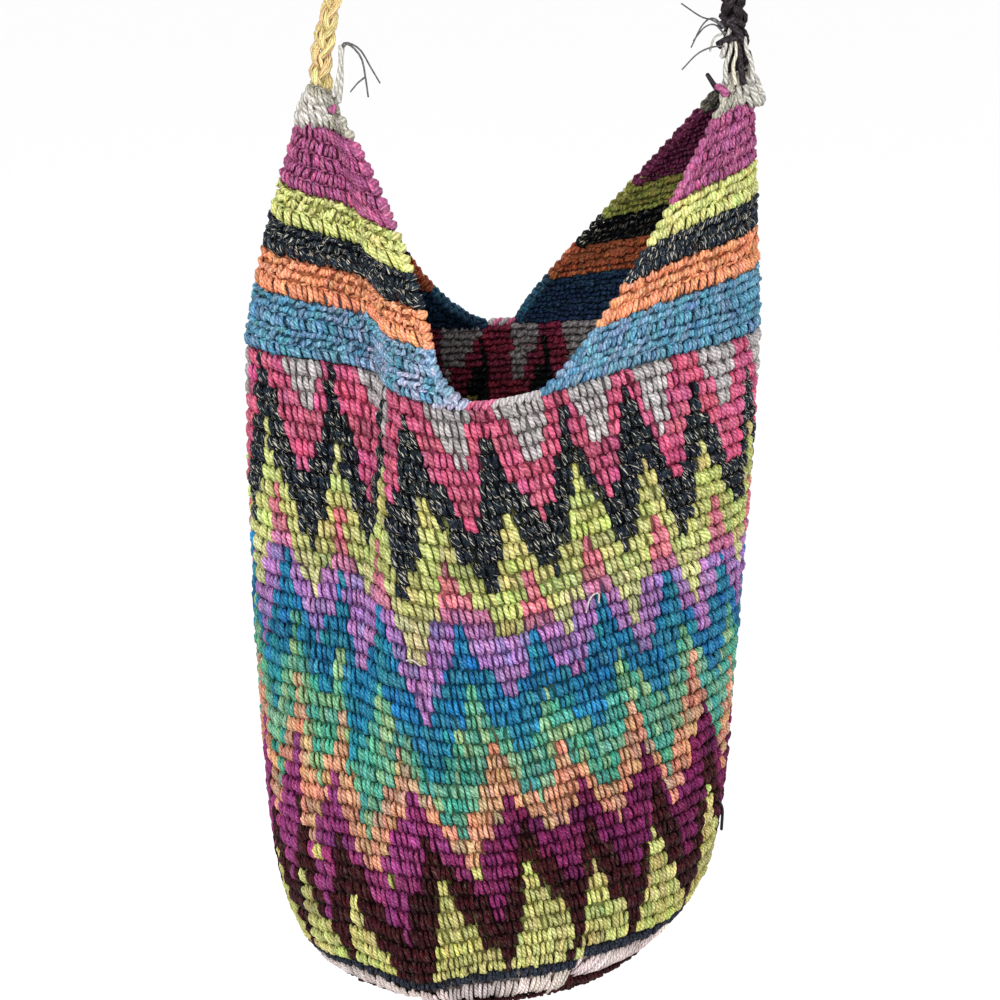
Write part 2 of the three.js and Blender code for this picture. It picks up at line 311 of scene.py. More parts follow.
def on_round(row, stitch, count=COLUMNS):
    """Points on a round of the wall, count stitches spaced evenly along it from the front's middle."""
    turns = np.linspace(-1, 1, 2 * ROUND_STEPS + 1)
    lengths = arc_lengths(wall(turns, round_place(row, turns)))
    stitches = (lengths - lengths[ROUND_STEPS]) / (lengths[-1] / 2) * count
    turn = np.interp((stitch + count / 2) % count - count / 2, stitches, turns)
    return wall(turn, round_place(row, turn))


def grid_faces(rows, columns, closed):
    """Corners of the faces between rows of points, joined round where closed."""
    row, here = np.meshgrid(np.arange(rows - 1), np.arange(columns if closed else columns - 1), indexing="ij")
    a, b = row * columns + here, row * columns + (here + 1) % columns
    return np.stack([a, b, b + columns, a + columns], -1).reshape(-1, 4)


class Yarn:
    """Short strands of yarn gathered into one mesh, with a colour and yarn coordinates at each vertex."""
    # How far the end of a strand stands out, in radii.
    CAP = 0.6

    def __init__(self):
        self.points, self.colours, self.coordinates, self.quads, self.triangles = [], [], [], [], []
        self.count = 0

    def strands(self, path, out, across, thick, colour, fleck=0.0, sides=6, tone=1.0, edge=1.0):
        """Closed strands along paths (strand, station, 3). Out faces outward, and across and thick are radii.
        Tone is painted shade and light at each station, and edge the painted shade of the side that faces
        inward."""
        path = np.asarray(path, float)
        n, stations, _ = path.shape
        tangent = unit(np.gradient(path, axis=1))
        side = unit(np.cross(tangent, np.broadcast_to(out, path.shape)))
        front = np.cross(side, tangent)
        angle = 2 * np.pi * np.arange(sides) / sides - np.pi
        across = np.broadcast_to(across, (n, stations))[..., None, None]
        thick = np.broadcast_to(thick, (n, stations))[..., None, None]
        ring = path[:, :, None] + side[:, :, None] * across * np.sin(angle)[:, None]
        ring = ring + front[:, :, None] * thick * np.cos(angle)[:, None]
        cap = self.CAP * thick[:, [0, -1], 0]
        first = path[:, :1] - tangent[:, :1] * cap[:, :1]
        last = path[:, -1:] + tangent[:, -1:] * cap[:, 1:]
        points = np.concatenate([ring.reshape(n, -1, 3), first, last], 1)
        step = np.linalg.norm(np.diff(path, axis=1), axis=2)
        along = np.concatenate([np.zeros((n, 1)), np.cumsum(step, 1)], 1)
        along = np.concatenate([np.repeat(along, sides, 1), along[:, :1], along[:, -1:]], 1)
        turned = np.concatenate([np.tile(angle, stations), [0, 0]])
        seed = rng.random((n, 1))
        coordinates = np.stack(np.broadcast_arrays(along, turned, seed), -1)
        # Painted shade in the vertex colours: each station's tone, and the sides turned away from out
        # darkened towards edge.
        tone = np.broadcast_to(np.asarray(tone, float), (stations,))
        painted_side_shade = edge + (1 - edge) * (0.5 + 0.5 * np.cos(angle))
        tones = np.concatenate([(tone[:, None] * painted_side_shade).ravel(), tone[[0, -1]] * (1 + edge) / 2])
        rgb = np.asarray(colour, float)
        rgb = np.broadcast_to(rgb[:, None] if rgb.ndim == 2 else rgb, points.shape)
        rgb = shaded(rgb, tones[:, None])
        alpha = np.broadcast_to(np.asarray(fleck, float).reshape(-1, 1, 1), (n, points.shape[1], 1))
        here = np.arange(sides)
        beside, ends = (here + 1) % sides, here + (stations - 1) * sides
        low = np.stack([0 * here + stations * sides, beside, here], -1)
        high = np.stack([0 * here + stations * sides + 1, ends, ends - here + beside], -1)
        self._add(points, np.concatenate([rgb, alpha], -1), coordinates, grid_faces(stations, sides, True),
                  np.concatenate([low, high]))

    def _add(self, points, colours, coordinates, quads, triangles):
        n, size, _ = points.shape
        first = self.count + size * np.arange(n)[:, None, None]
        self.points.append(points.reshape(-1, 3))
        self.colours.append(colours.reshape(-1, 4))
        self.coordinates.append(coordinates.reshape(-1, 3))
        self.quads.append((quads[None] + first).reshape(-1, 4))
        self.triangles.append((triangles[None] + first).reshape(-1, 3))
        self.count += n * size

    def sheet(self, outer, inner, colours, closed):
        """A closed shell between two grids of points (row, column, 3), joined round where closed."""
        rows, columns, _ = outer.shape
        points = np.concatenate([outer.reshape(-1, 3), inner.reshape(-1, 3)])
        under, low = rows * columns, (rows - 1) * columns
        face = grid_faces(rows, columns, closed)[:, [0, 3, 2, 1]]
        here = np.arange(columns if closed else columns - 1)
        beside = (here + 1) % columns
        edges = [(beside, here), (low + here, low + beside)]
        if not closed:
            first = np.arange(rows - 1) * columns
            last = first + columns - 1
            edges += [(first, first + columns), (last + columns, last)]
        faces = [face, face[:, ::-1] + under] + [np.stack([a, under + a, under + b, b], -1) for a, b in edges]
        rgba = np.concatenate([np.tile(colours.reshape(-1, 3), (2, 1)), np.zeros((len(points), 1))], 1)
        empty = np.zeros((0, 3), int)
        self._add(points[None], rgba[None], np.zeros_like(points)[None], np.concatenate(faces), empty)

    def build(self, name, material, slot, *replaced):
        """The mesh as a piece that rides on the bag and stands for the replaced solids."""
        quads, triangles = np.concatenate(self.quads), np.concatenate(self.triangles)
        corners = np.concatenate([quads.ravel(), triangles.ravel()]).astype(np.int32)
        sizes = np.concatenate([np.full(len(quads), 4), np.full(len(triangles), 3)])
        starts = np.concatenate([[0], np.cumsum(sizes)[:-1]]).astype(np.int32)
        mesh = bpy.data.meshes.new(name)
        mesh.vertices.add(self.count)
        mesh.vertices.foreach_set("co", to_frame(np.concatenate(self.points)).astype(np.float32).ravel())
        mesh.loops.add(len(corners))
        mesh.loops.foreach_set("vertex_index", corners)
        mesh.polygons.add(len(sizes))
        mesh.polygons.foreach_set("loop_start", starts)
        mesh.polygons.foreach_set("use_smooth", np.ones(len(sizes), bool))
        colour = mesh.attributes.new("colour", "FLOAT_COLOR", "POINT")
        colour.data.foreach_set("color", np.concatenate(self.colours).astype(np.float32).ravel())
        yarn = mesh.attributes.new("yarn", "FLOAT_VECTOR", "POINT")
        yarn.data.foreach_set("vector", np.concatenate(self.coordinates).astype(np.float32).ravel())
        mesh.update(calc_edges=True)
        mesh.validate()
        mesh.materials.append(material)
        piece = bpy.data.objects.new(name, mesh)
        bpy.context.scene.collection.objects.link(piece)
        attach(piece, "root")
        if replaced:
            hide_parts(*replaced)


# Materials

# Scale and detail of the noise of fine fibres, of paler ones and of cream flecks.
FIBRE_NOISE, PALE_NOISE, FLECK_NOISE = (1600.0, 3.0), (900.0, 2.0), (1.6, 0.0)
# Tones across a ply, painted shade in its grooves and painted highlight on its crowns, and tones across the
# fibres, shares of the paler colour and of cream, and spans of the noise.
PLY_PAINTED_SHADE_AND_HIGHLIGHT, FIBRE_TONES, FIBRE_SPAN = (0.64, 1.24), (0.66, 1.34), (0.3, 0.7)
PALE_SHARES, PALE_SPAN, PALE_GAMMA = (0.0, 0.5), (0.45, 0.7), 0.55
FLECK_SHARES, FLECK_SPAN = (0.0, 0.72), (0.65, 0.73)
# How close flecks come along and round a strand, and their slant.
FLECK_ALONG, FLECK_AROUND, FLECK_SLANT = 0.22, 1.7, 0.45
# How far apart the strands lie in the patterns of plies and flecks.
PLY_SEED, FLECK_SEED = 40.0, 60.0
BUMP_STRENGTH, BUMP_DISTANCE = 0.7, 0.0004
ROUGHNESS, SPECULAR = 0.8, 0.12


def put(tree, sockets, values):
    """Links or sets the inputs of a node."""
    for name, value in values.items():
        if isinstance(value, bpy.types.NodeSocket):
            tree.links.new(value, sockets[name])
        else:
            sockets[name].default_value = value


def new_material(name):
    """A material, its tree, and a function that adds a node and gives one of its outputs."""
    material = bpy.data.materials.new(name)
    material.use_nodes = True
    tree = material.node_tree

    def node(kind, values, output=0, **settings):
        made = tree.nodes.new(f"ShaderNode{kind}")
        for setting, value in settings.items():
            setattr(made, setting, value)
        put(tree, made.inputs, values)
        return made.outputs[output]

    return material, tree, node


def yarn_material(name, plies=3.0, pitch=2.3, ply_depth=0.5, fuzz=0.35):
    """Plied yarn: twisted streaks along each strand, of painted shade in the grooves between plies and
    painted highlight on their crowns, short fibres, and cream flecks where the colour asks.
    """
    material, tree, node = new_material(name)

    def times(a, b):
        return node("Math", {0: a, 1: b}, operation="MULTIPLY")

    def plus(a, b):
        return node("Math", {0: a, 1: b}, operation="ADD")

    def noise(place, scale, detail):
        return node("TexNoise", {"Vector": place, "Scale": scale, "Detail": detail}, "Fac")

    def ramp(value, results, span):
        ends = {"From Min": span[0], "From Max": span[1], "To Min": results[0], "To Max": results[1]}
        return node("MapRange", {"Value": value, **ends}, "Result")

    def mix(share, a, b):
        return node("Mix", {"Factor": share, "A": a, "B": b}, "Result", data_type="RGBA")

    colour = node("Attribute", {}, "Color", attribute_name="colour")
    flecked = node("Attribute", {}, "Alpha", attribute_name="colour")
    yarn = node("Attribute", {}, "Vector", attribute_name="yarn")
    along, around, seed = node("SeparateXYZ", {0: yarn}).node.outputs
    place = node("TexCoord", {}, "Object")

    wound = plus(times(around, plies), times(along, 2 * math.pi / pitch))
    ply = node("Math", {0: plus(wound, times(seed, PLY_SEED))}, operation="SINE")
    fibres = noise(place, *FIBRE_NOISE)
    paler = node("Gamma", {"Color": colour, "Gamma": PALE_GAMMA})
    blended = mix(ramp(noise(place, *PALE_NOISE), PALE_SHARES, PALE_SPAN), colour, paler)
    # Painted shade in the grooves between plies and painted highlight on their crowns, times the fibres'
    # tones.
    ply_shade_and_fibre_tone = times(ramp(ply, PLY_PAINTED_SHADE_AND_HIGHLIGHT, (-1.0, 1.0)), ramp(fibres, FIBRE_TONES, FIBRE_SPAN))
    ply_shaded_colour = node("VectorMath", {0: blended, "Scale": ply_shade_and_fibre_tone}, operation="SCALE")

    slanted = plus(around, times(along, FLECK_SLANT))
    spots = {0: times(along, FLECK_ALONG), 1: times(slanted, FLECK_AROUND), 2: times(seed, FLECK_SEED)}
    fleck = ramp(noise(node("CombineXYZ", spots), *FLECK_NOISE), FLECK_SHARES, FLECK_SPAN)
    shown = mix(times(fleck, flecked), ply_shaded_colour, (*YARN["cream"], 1))
    height = plus(times(ply, ply_depth), times(fibres, fuzz))
    bump = node("Bump", {"Height": height, "Strength": BUMP_STRENGTH, "Distance": BUMP_DISTANCE})
    put(tree, tree.nodes["Principled BSDF"].inputs, {
        "Base Color": shown, "Normal": bump, "Roughness": ROUGHNESS, "Specular IOR Level": SPECULAR})
    return material


def vividness(colours):
    return 1 - colours.min(-1, keepdims=True) / np.maximum(colours.max(-1, keepdims=True), 1e-6)


def varied(colours, tone=0.15, hue=0.08):
    """Colours each a little lighter or darker, and turned a little towards another hue where vivid."""
    lighter = np.exp(rng.normal(0, tone, (len(colours), 1)))
    return colours * lighter * np.exp(rng.normal(0, hue, colours.shape) * vividness(colours))


def slow_change(tone, hue):
    """Factors for the wall's colours that change slowly along each round, as long-striped yarn does."""
    knots = COLUMNS // CHANGE_COLUMNS
    lighter = rng.normal(0, tone, (ROUNDS, knots, 1)) + rng.normal(0, hue, (ROUNDS, knots, 3))
    at = np.arange(COLUMNS) * knots / COLUMNS
    low = np.floor(at).astype(int)
    return np.exp(lighter[:, low] + (lighter[:, (low + 1) % knots] - lighter[:, low]) * (at - low)[:, None])


def blend(a, b, share):
    return a + (b - a) * np.asarray(share)[..., None]


# The chart of the zigzag

def chain_tips():
    """Stitch and round of each band's tip along every chain, as (chain, band, 2)."""
    shown = np.array(CHAINS, float)
    first_again = shown[0] + (COLUMNS, 0)
    share = np.linspace(0, 1, len(BACK_TIPS))[:, None, None]
    behind = shown[-1] + share * (first_again - shown[-1])
    behind[:, :, 0] += (np.array(BACK_TIPS) - behind[:, 0, 0])[:, None]
    anchors = np.concatenate([shown, behind])
    tips = np.empty((len(anchors), len(BANDS), 2))
    for chain, points in enumerate(anchors):
        for axis in (0, 1):
            tips[chain, :, axis] = np.interp(np.arange(len(BANDS)), TIP_BANDS, points[:, axis])
    tips[:, 0] = 2 * tips[:, 1] - tips[:, 2]
    return np.round(tips)


def zigzag_chart():
    """Band of each stitch, -1 where grey, and how many rounds below its triangle's tip it lies."""
    rounds = np.arange(ZIGZAG_ROUNDS)[:, None]
    stitches = np.arange(COLUMNS)[None, :]
    chart = np.full((ZIGZAG_ROUNDS, COLUMNS), -1)
    age = np.zeros((ZIGZAG_ROUNDS, COLUMNS))
    tips = chain_tips()
    for band in range(len(BANDS)):
        spacing = (np.roll(tips[:, band, 0], -1) - tips[:, band, 0]) % COLUMNS
        left, next_rounds = LEFT_GROWTHS[band], np.roll(tips[:, band, 1], -1)
        for chain, (tip_stitch, tip_round) in enumerate(tips[:, band]):
            growth, reach = LOW_GROWTH, spacing[chain] - 1
            if band != TIP_BANDS[-1]:
                end = SPIKE_ENDS[min(chain, len(SPIKE_ENDS) - 1)][band]
                met = spacing[chain] - left * max(0, end - next_rounds[chain])
                growth, reach = met / max(1, end - tip_round), TRIANGLE_REACH
            beside = (stitches - tip_stitch + COLUMNS / 2) % COLUMNS - COLUMNS / 2
            below = np.broadcast_to(rounds - tip_round, chart.shape)
            inside = (below >= 0) & (np.abs(beside) < reach)
            inside &= (beside >= -left * below) & (beside <= growth * below)
            chart[inside] = band
            age[inside] = below[inside]
    for stitch, row in LIME_SPOTS:
        chart[row, stitch % COLUMNS] = BANDS.index("low_lime")
    return chart, age


def wall_colours():
    """Colour and fleck of each stitch of the wall, by round and stitch."""
    chart, age = zigzag_chart()
    colours = np.empty((ROUNDS, COLUMNS, 3))
    flecks = np.zeros((ROUNDS, COLUMNS))
    zigzag = colours[:ZIGZAG_ROUNDS]
    zigzag[:] = YARN["grey"]
    for band, name in enumerate(BANDS):
        zigzag[chart == band] = YARN[name]
    column = (np.arange(COLUMNS) + COLUMNS / 2) % COLUMNS - COLUMNS / 2
    for band, other, share, span, power in YARN_CHANGES:
        share = share * smoothstep(*span, age)
        if power:
            share = share * rng.random(age.shape) ** power
        here = chart == BANDS.index(band)
        zigzag[here] = blend(zigzag[here], YARN[other], share[here])
    here = chart == BANDS.index("purple")
    to_left = np.broadcast_to(smoothstep(*LEFT_PURPLE_COLUMNS, column), chart.shape)
    zigzag[here] = blend(zigzag[here], YARN["left_purple"], to_left[here])
    flecks[:ZIGZAG_ROUNDS][chart == BANDS.index("tweed")] = 1
    flecks[:ZIGZAG_ROUNDS][chart == BANDS.index("maroon")] = MAROON_FLECK
    colours[ZIGZAG_ROUNDS] = YARN["navy"]
    colours[ZIGZAG_ROUNDS + 1] = YARN["pale"]
    colours[ZIGZAG_ROUNDS + 2:] = YARN["maroon"]
    stepped = (column > PALE_STEP_COLUMNS[0]) & (column < PALE_STEP_COLUMNS[1])
    colours[ZIGZAG_ROUNDS - 1, stepped] = YARN["navy"]
    colours[ZIGZAG_ROUNDS, stepped] = YARN["pale"]
    colours[ZIGZAG_ROUNDS + 1, stepped] = YARN["maroon"]
    colours = colours ** WALL_DEPTH
    colours *= slow_change(0, HUE_CHANGE) ** vividness(colours)
    colours *= slow_change(TONE_CHANGE, 0)
    return colours, flecks


# Stitches

# The strands of a stitch: their lower end, middle and upper end, in stitch widths to the right,
# rounds up, and millimetres out of the fabric's face. Then their radius, sides and stations, and 0 or 1
# for the half of the stitch whose colour they take.
ROUND_LEGS = (
    (((-0.04, -0.49, -1.0), (-0.25, -0.02, 0.7), (-0.46, 0.45, -0.4)), 1.5, 5, 4, 0),
    (((0.46, -0.49, -1.0), (0.25, 0.0, 0.6), (0.04, 0.46, -0.5)), 1.5, 5, 4, 1),
)
# Rows of the tabs show the front and the back of the stitches by turns.
FRONT_LEGS = (
    (((-0.08, -0.52, -1.0), (-0.25, -0.05, 0.8), (-0.41, 0.42, -0.2)), 1.48, 5, 4, 0),
    (((0.42, -0.52, -1.0), (0.25, -0.05, 0.7), (0.09, 0.42, -0.3)), 1.48, 5, 4, 1),
    (((-0.45, 0.40, -0.8), (0.0, 0.52, 0.2), (0.45, 0.46, -1.0)), 0.95, 5, 3, 0),
)
BACK_LEGS = (
    (((-0.50, -0.40, -0.8), (-0.25, -0.20, 0.5), (0.0, -0.10, -0.6)), 1.75, 5, 3, 0),
    (((0.00, -0.42, -0.8), (0.25, -0.22, 0.5), (0.5, -0.08, -0.6)), 1.75, 5, 3, 1),
    (((-0.44, 0.12, -0.7), (-0.2, 0.34, 0.5), (0.06, 0.24, -0.7)), 1.75, 5, 3, 0),
    (((0.08, 0.12, -0.7), (0.3, 0.34, 0.5), (0.56, 0.24, -0.7)), 1.75, 5, 3, 1),
)
# Stripes whose rows lean to either side by turns, and the width of their stitches.
HERRINGBONE = ("tab_magenta", "tab_grey")
HERRINGBONE_WIDTH = 4.1
# The inside of the bag shows close bumps.
INSIDE_BUMPS = (
    (((-0.55, 0.16, -0.7), (-0.25, 0.26, 0.6), (0.05, 0.16, -0.7)), 1.9, 4, 3, 1),
    (((-0.05, 0.16, -0.7), (0.25, 0.26, 0.5), (0.55, 0.16, -0.7)), 1.9, 4, 3, 0),
    (((-0.55, -0.34, -0.7), (-0.25, -0.24, 0.5), (0.05, -0.34, -0.7)), 1.9, 4, 3, 1),
    (((-0.05, -0.34, -0.7), (0.25, -0.24, 0.4), (0.55, -0.34, -0.7)), 1.9, 4, 3, 0),
)
# How far the points of strands differ: widths, rounds and millimetres. Then the painted shade of their
# inner side.
LEG_JITTER, TAB_JITTER = (0.085, 0.075, 0.35), (0.1, 0.085, 0.4)
LEG_PAINTED_SIDE_SHADE, TAB_PAINTED_SIDE_SHADE = 0.8, 0.6
# Radius and painted shade of a strand at its ends and what its middle adds, the ends darker where rows meet;
# painted light from its lower to its upper end, lighter at the top as if lit from above; its thickness for
# its width, and how far sizes differ.
SWELL, SWELL_PAINTED_SHADE, PAINTED_LIGHT_FROM_ABOVE, FLATNESS = (0.62, 0.42), (0.58, 0.5), (0.8, 1.1), 0.95
SIZE_JITTER, SIZE_LIMITS = 0.1, (0.6, 1.25)
# The middles of a stitch's halves, from its own middle.
HALVES = np.array([[-0.25], [0.25]])


def bent_paths(centre, right, up, out, ends, stations):
    """Curved paths through three points given in each stitch's own widths, heights and millimetres out."""
    t = np.linspace(0, 1, stations)
    weights = np.stack([(1 - t) * (1 - 2 * t), 4 * t * (1 - t), t * (2 * t - 1)], -1)
    local = np.einsum("sk,nkc->nsc", weights, ends)
    return (centre[:, None] + local[..., :1] * right[:, None] + local[..., 1:2] * up[:, None]
            + local[..., 2:] * out[:, None])


def add_stitches(yarn, centre, right, up, colours, flecks, legs, jitter=LEG_JITTER, edge=LEG_PAINTED_SIDE_SHADE):
    """Strands of stitches, with colours and flecks for the left and the right half of each."""
    out = unit(np.cross(right, up))
    n = len(centre)
    for ends, radius, sides, stations, half in legs:
        ends = np.broadcast_to(np.array(ends), (n, 3, 3)) + rng.normal(0, 1, (n, 3, 3)) * jitter
        path = bent_paths(centre, right, up, out, ends, stations)
        swell = np.sin(np.pi * (np.arange(stations) + 0.5) / stations)
        size = rng.normal(1, SIZE_JITTER, (n, 1)) * np.linalg.norm(right, axis=1, keepdims=True) / LEG_WIDTH
        radius = radius * np.clip(size, *SIZE_LIMITS) * (SWELL[0] + SWELL[1] * swell)
        # Painted shade at the strand's ends, where rows meet, and painted light growing towards its upper
        # end.
        tone = (SWELL_PAINTED_SHADE[0] + SWELL_PAINTED_SHADE[1] * swell) * np.linspace(*PAINTED_LIGHT_FROM_ABOVE, stations)
        yarn.strands(path, out[:, None], radius, FLATNESS * radius, varied(colours[half]), flecks[half],
                     sides, tone, edge)


def wall_stitch_frames(row, count):
    """Centres of a round's stitches, vectors across and up each, and the chart's column at both halves."""
    lean = LEAN * count / COLUMNS
    place = np.arange(count) + ROUND_STARTS[row]
    stitch = place - lean * row
    centre = on_round(row + 0.5, stitch, count)
    right = on_round(row + 0.5, stitch + 0.5, count) - on_round(row + 0.5, stitch - 0.5, count)
    up = on_round(row, stitch + lean / 2, count) - on_round(row + 1, stitch - lean / 2, count)
    columns = np.round((place + HALVES) * COLUMNS / count).astype(int) % COLUMNS
    return centre, right, up, columns


def wall_shell(first, last):
    """The outer and inner face of the fabric's backing, a row of points for each round."""
    faces = [[], []]
    for row in range(first, last + 1):
        stitch = np.arange(COLUMNS) - LEAN * row
        here = on_round(row, stitch)
        right = on_round(row, stitch + SLOPE_STEP) - on_round(row, stitch - SLOPE_STEP)
        up = on_round(max(row - SLOPE_STEP, 0), stitch) - on_round(row + SLOPE_STEP, stitch)
        out = unit(np.cross(right, up))
        for face, depth in zip(faces, BACKING_DEPTHS):
            face.append(here - depth * out)
    return np.array(faces)


# The backing of the wall, a sheet in the stitches' colours darkened as painted shade for the gaps between
# them: depths of its faces below the stitches' middles, the tone of that painted shade, and the part of a
# column or round over which its slope is measured.
BACKING_DEPTHS, BACKING_PAINTED_SHADE, SLOPE_STEP = (1.6, 3.0), 0.72, 0.4
# How many rounds past the last one the stitch in the middle of the base lies.
BASE_MIDDLE = 0.2
# The inside stitches: their depth, the rounds that have them and those that have all bumps, tones of painted
# shade for the least and the most vivid colours, as the inside lies in shadow, and how far flecks show.
INSIDE_DEPTH = 3.7
INSIDE_ROUNDS, INSIDE_FULL_ROUNDS = 20, 8
INSIDE_PAINTED_SHADES, INSIDE_FLECKS = (0.7, 0.36), 0.1
BODY_PIECES = {"body_stitches_top": range(0, 15), "body_stitches_middle": range(15, 29),
               "body_stitches_low": range(29, WALL_ROUNDS)}


def round_count(row):
    """Stitches in a round, fewer where the yarn is thick and where the base draws in."""
    if row < THICK_ROUNDS:
        return THICK_STITCHES
    if row <= ZIGZAG_ROUNDS + 2:
        return STITCHES
    turns = np.linspace(0, 1, LENGTH_STEPS + 1)
    length = arc_lengths(wall(turns, round_place(row + 0.5, turns)))[-1]
    return max(FEWEST_STITCHES, int(round(length / STITCH_WIDTH)))


def add_rounds(name, rows, colours, flecks, slot):
    """The stitches of some rounds as one piece. One more stitch closes the base after its last round."""
    yarn = Yarn()
    for row in rows:
        *places, columns = wall_stitch_frames(row, round_count(row))
        add_stitches(yarn, *places, colours[row, columns], flecks[row, columns], ROUND_LEGS)
    if rows[-1] == ROUNDS - 1:
        middle = on_round(ROUNDS + BASE_MIDDLE, np.zeros(1))
        add_stitches(yarn, middle, np.array([[STITCH_WIDTH, 0, 0]]), np.array([[0, -ROUND_HEIGHT, 0]]),
                     colours[-1, :2, None], flecks[-1, :2, None], ROUND_LEGS)
    yarn.build(name, MATERIALS["crochet"], slot)


def add_backing(solid, first, last, colours):
    """The backing of some rounds as one piece, which stands for a solid, in the stitches' colours darkened as
    painted shade for the gaps between them.
    """
    backing = Yarn()
    backing.sheet(*wall_shell(first, last), shaded(colours, BACKING_PAINTED_SHADE), True)
    backing.build(f"{solid}_backing", MATERIALS["crochet"], f"{solid}_crochet", solid)


def make_body(colours, flecks):
    add_backing("body", 0, WALL_ROUNDS, colours[:WALL_ROUNDS + 1])
    for name, rows in BODY_PIECES.items():
        add_rounds(name, rows, colours, flecks, "body_crochet")
    inside = Yarn()
    for row in range(INSIDE_ROUNDS):
        centre, right, up, columns = wall_stitch_frames(row, INSIDE_STITCHES)
        out = unit(np.cross(right, up))
        bumps = INSIDE_BUMPS if row < INSIDE_FULL_ROUNDS else INSIDE_BUMPS[:2]
        here = colours[row, columns]
        # Painted shade, as the inside lies in shadow: the more vivid a colour, the darker.
        shade = INSIDE_PAINTED_SHADES[0] + (INSIDE_PAINTED_SHADES[1] - INSIDE_PAINTED_SHADES[0]) * vividness(here)
        add_stitches(inside, centre - INSIDE_DEPTH * out, -right, up, shaded(here, shade),
                     INSIDE_FLECKS * flecks[row, columns], bumps)
    inside.build("body_inside_stitches", MATERIALS["crochet"], "body_crochet")


def make_base(colours, flecks):
    maroon = np.tile(YARN["maroon"], (ROUNDS - WALL_ROUNDS + 1, COLUMNS, 1))
    add_backing("base", WALL_ROUNDS, ROUNDS, maroon)
    add_rounds("base_stitches", range(WALL_ROUNDS, ROUNDS), colours, flecks, "base_crochet")


# Tabs

TAB_ROW_YARNS = [name for name, count, _ in TAB_STRIPES for _ in range(count)]
TAB_ROWS = len(TAB_ROW_YARNS)
# Rows that show the front of the stitches are lower than those that show the back.
FRONT_ROW, BACK_ROW = 0.84, 1.16
TAB_HEIGHTS = np.array([height for _, count, height in TAB_STRIPES for _ in range(count)])
for tab_row, tab_yarn in enumerate(TAB_ROW_YARNS):
    if tab_yarn not in HERRINGBONE:
        TAB_HEIGHTS[tab_row] *= BACK_ROW if tab_row % 2 else FRONT_ROW
TAB_LINES = np.concatenate([[0], np.cumsum(TAB_HEIGHTS)]) / TAB_HEIGHTS.sum()
# The last row is drawn into the ties.
TAB_STITCH_ROWS = TAB_ROWS - 1
# Depths of the backing's faces and of the inside stitches, and points across the backing and to measure rows.
TAB_DEPTHS, TAB_INSIDE_DEPTH = (1.3, 2.4), 3.2
TAB_COLUMNS, TAB_STEPS = 61, 400
FEWEST_ACROSS = 4
FOOT_RUN_RISE = 0.2
# Steps up with which the slope of a tab is measured, on its face and at its edges, and a place near an edge.
FACE_STEP, EDGE_STEP, NEAR_EDGE = 0.01, 0.02, 0.97
# Tones of painted shade: in the backing's gaps, on the inside stitches and on the loops round the back edge.
TAB_BACKING_PAINTED_SHADE, TAB_INSIDE_PAINTED_SHADE, BACK_EDGE_PAINTED_SHADE = 0.612, 0.42, 0.4
# The blue fades to lavender towards the front edge: where across that begins, how far it goes, where it ends.
FADES, FADE_END = {"left": (-0.55, 1.0), "right": (-0.6, 0.35)}, -0.95
LAVENDER_SHARE, CYAN_SHARE, INSIDE_BLUE_SHARE, TAB_INSIDE_FLECKS = 0.25, 0.6, 0.7, 0.3
# The loop of yarn round a tab's edge: millimetres away from the tab and out of its face, then its radii.
EDGE_LOOP = ((-2.2, 0.2), (0.2, -0.1), (1.0, -1.6), (0.2, -3.0), (-2.2, -3.4))
EDGE_LOOP_WIDTH, EDGE_LOOP_THICKNESS = 2.3, 1.4
EDGE_LOOP_PLACES, EDGE_LOOP_JITTER = np.array([0.25, 0.75]), 0.07


def front_edge(tab, up):
    """The place across of a tab's front edge, which may run out along the rim at the foot."""
    return -1 - tab["foot_run"] * np.clip(1 - np.asarray(up) / FOOT_RUN_RISE, 0, 1) ** 2


def tab_rise(tab, across, up, step):
    return tab_face(tab, across, min(1, up + step)) - tab_face(tab, across, max(0, up - step))


def even_across(tab, up, spacing):
    """Places across a tab, evenly spaced along its row: of the stitches' middles and of their ends."""
    across = np.linspace(front_edge(tab, up), 1, TAB_STEPS + 1)
    lengths = arc_lengths(tab_face(tab, across, up))
    count = max(FEWEST_ACROSS, int(round(lengths[-1] / spacing)))
    middles = np.interp((np.arange(count) + 0.5) / count * lengths[-1], lengths, across)
    edges = np.interp(np.arange(count + 1) / count * lengths[-1], lengths, across)
    return middles, edges


def tab_row_frames(tab, row):
    """Centres of a tab row's stitches, vectors across and up each, and the places across."""
    low, high = TAB_LINES[row], TAB_LINES[row + 1]
    fine = TAB_ROW_YARNS[row] in HERRINGBONE
    middles, edges = even_across(tab, (low + high) / 2, HERRINGBONE_WIDTH if fine else STITCH_WIDTH)
    centre = tab_face(tab, middles, (low + high) / 2)
    ends = tab_face(tab, edges, (low + high) / 2)
    right = (ends[1:] - ends[:-1]) * tab["outward"]
    up = tab_face(tab, middles, high) - tab_face(tab, middles, low)
    return centre, right, up, middles


def tab_colours(side, row, across):
    """Colour of each stitch in a tab's row."""
    name = TAB_ROW_YARNS[row]
    colours = np.tile(YARN[name], (len(across), 1))
    if name == "tab_blue":
        start, most = FADES[side]
        share = LAVENDER_SHARE + (1 - LAVENDER_SHARE) * most * smoothstep(start, FADE_END, across)
        colours = blend(colours, YARN["tab_lavender"], share * rng.random(len(across)))
        colours = blend(colours, YARN["tab_cyan"], CYAN_SHARE * rng.random(len(across)) ** 2)
    return colours


